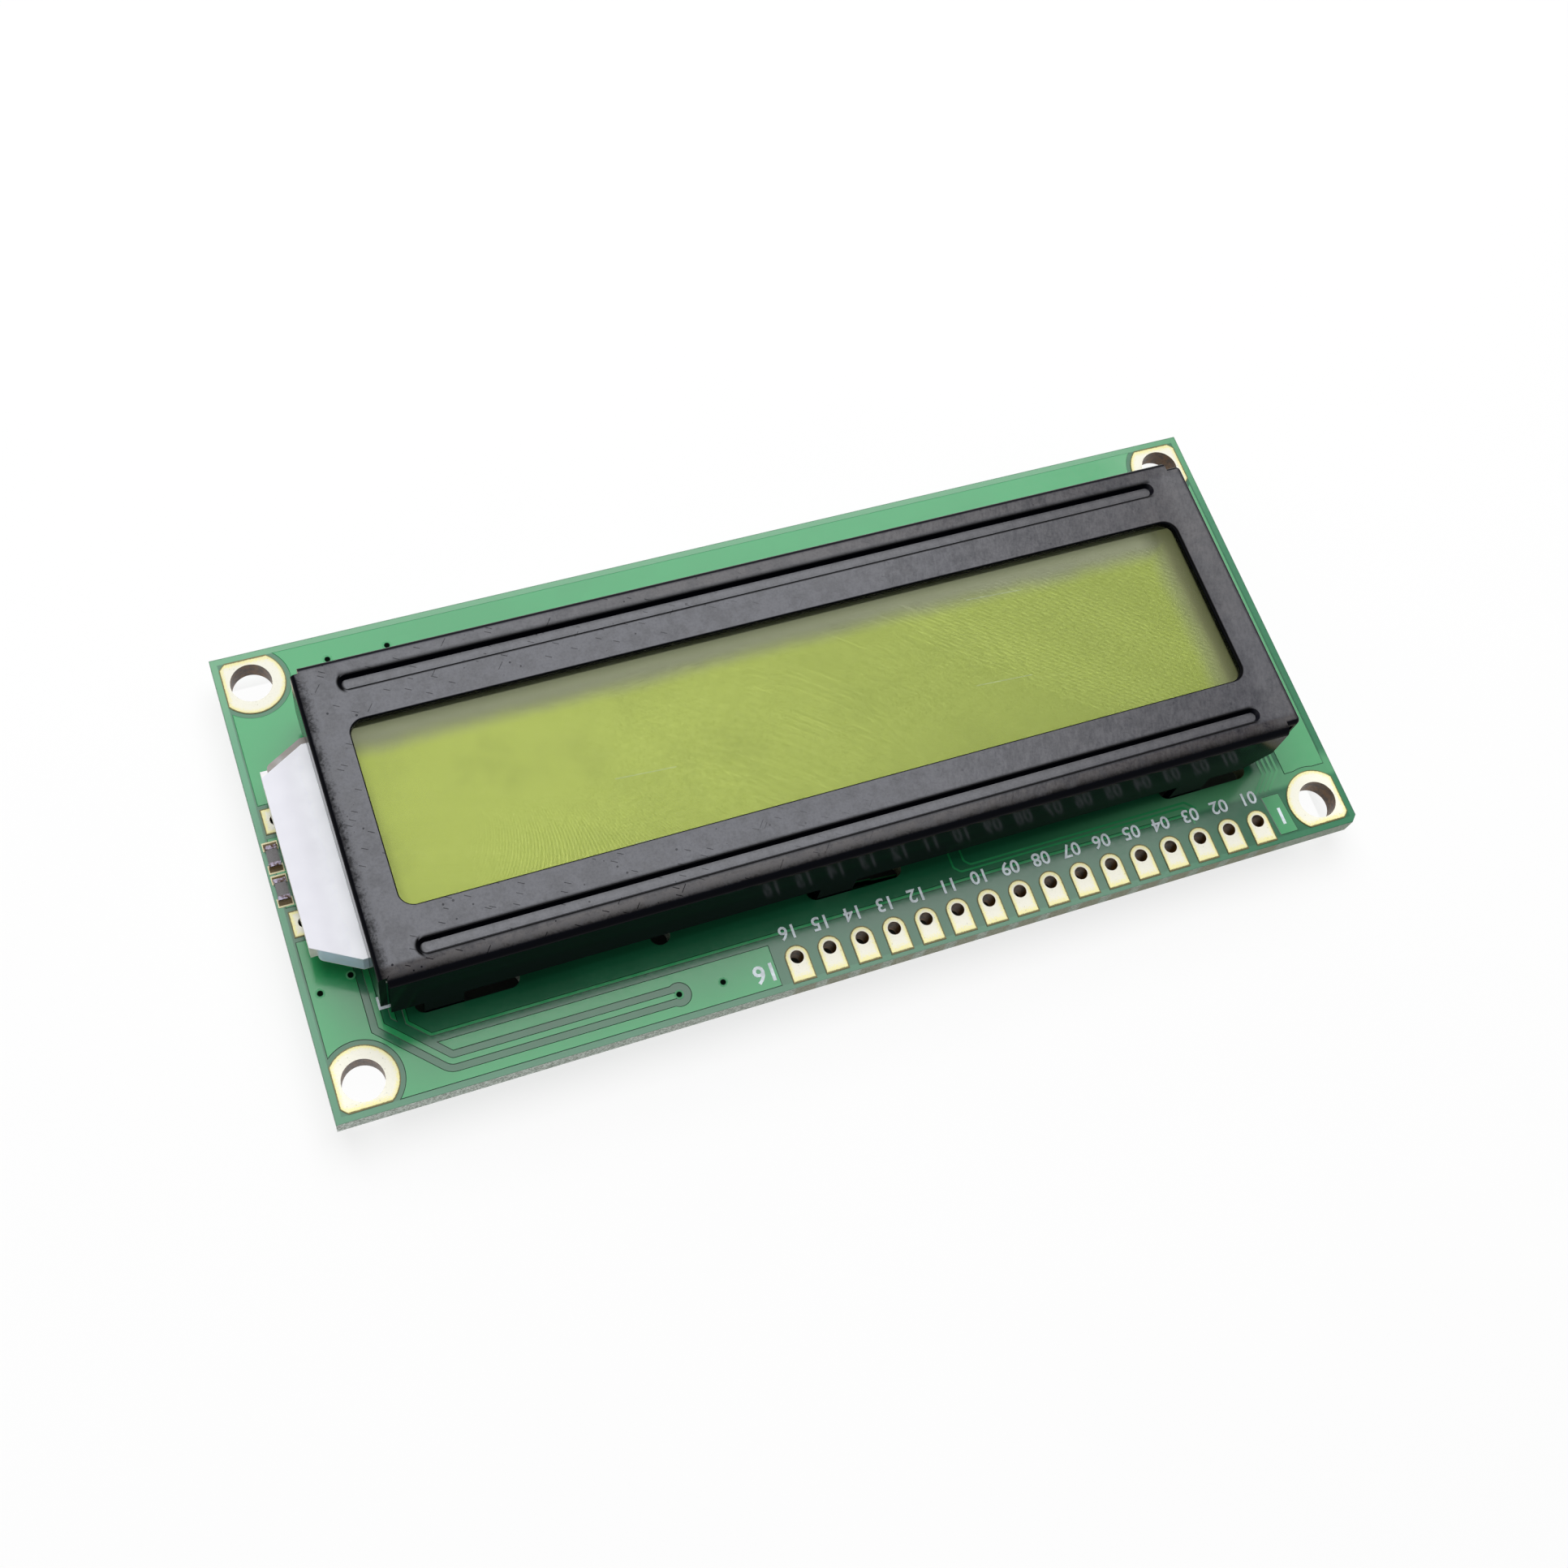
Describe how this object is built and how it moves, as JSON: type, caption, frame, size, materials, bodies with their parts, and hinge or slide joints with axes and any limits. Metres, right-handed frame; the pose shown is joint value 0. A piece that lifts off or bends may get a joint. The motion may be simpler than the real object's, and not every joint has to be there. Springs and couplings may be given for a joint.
{
  "type": "character lcd module",
  "caption": "Character LCD module: green circuit board with gold pin pads, black folded metal bezel and yellow-green window, white backlight end.",
  "frame": {"origin": "centre of the mounting-hole pattern on the circuit board's rear face", "axes": "+X along the board's long side towards pin 1, pin row at the -Y edge, +Z out of the display face"},
  "size_m": [0.08, 0.036, 0.0116],
  "materials": {
    "board_green": "glossy",
    "strip_cream": "matte",
    "gold_plating": "satin",
    "bezel_black": "glossy",
    "polarizer_film": "glossy",
    "cell_glass": "glossy",
    "seal_resin": "matte",
    "crystal_yellow_green": "glossy",
    "connector_rubber": "matte",
    "white_plastic": "matte",
    "clear_acrylic": "glossy",
    "led_body": "satin",
    "tinned_metal": "satin",
    "black_epoxy": "satin",
    "resistor_black": "satin",
    "capacitor_tan": "satin"
  },
  "bodies": {
    "root": {"backlight_lead_far": "tinned_metal", "backlight_lead_near": "tinned_metal", "backlight_tray": "white_plastic", "bezel": "bezel_black", "cell_seal": "seal_resin", "circuit_board": "board_green", "controller_cover_left": "black_epoxy", "controller_cover_right": "black_epoxy", "diffuser_sheet": "white_plastic", "end_tape": "white_plastic", "front_glass": "cell_glass", "front_polarizer": "polarizer_film", "front_resistor_1": "resistor_black", "front_resistor_2": "resistor_black", "lead_pad_far": "gold_plating", "lead_pad_near": "gold_plating", "led_chip_1": "led_body", "led_chip_2": "led_body", "led_chip_3": "led_body", "led_strip_board": "strip_cream", "light_guide": "clear_acrylic", "liquid_crystal": "crystal_yellow_green", "mounting_pad_1": "gold_plating", "mounting_pad_2": "gold_plating", "mounting_pad_3": "gold_plating", "mounting_pad_4": "gold_plating", "pin_pad_1": "gold_plating", "pin_pad_10": "gold_plating", "pin_pad_11": "gold_plating", "pin_pad_12": "gold_plating", "pin_pad_13": "gold_plating", "pin_pad_14": "gold_plating", "pin_pad_15": "gold_plating", "pin_pad_16": "gold_plating", "pin_pad_2": "gold_plating", "pin_pad_3": "gold_plating", "pin_pad_4": "gold_plating", "pin_pad_5": "gold_plating", "pin_pad_6": "gold_plating", "pin_pad_7": "gold_plating", "pin_pad_8": "gold_plating", "pin_pad_9": "gold_plating", "rear_capacitor_1": "capacitor_tan", "rear_capacitor_2": "capacitor_tan", "rear_glass": "cell_glass", "rear_polarizer": "polarizer_film", "rear_resistor_1": "resistor_black", "rear_resistor_2": "resistor_black", "rear_resistor_3": "resistor_black", "rear_resistor_4": "resistor_black", "rear_resistor_5": "resistor_black", "reflector_film": "white_plastic", "rubber_connector_far": "connector_rubber", "rubber_connector_near": "connector_rubber", "solder_joint_far": "tinned_metal", "solder_joint_near": "tinned_metal"}
  },
  "joints": []
}
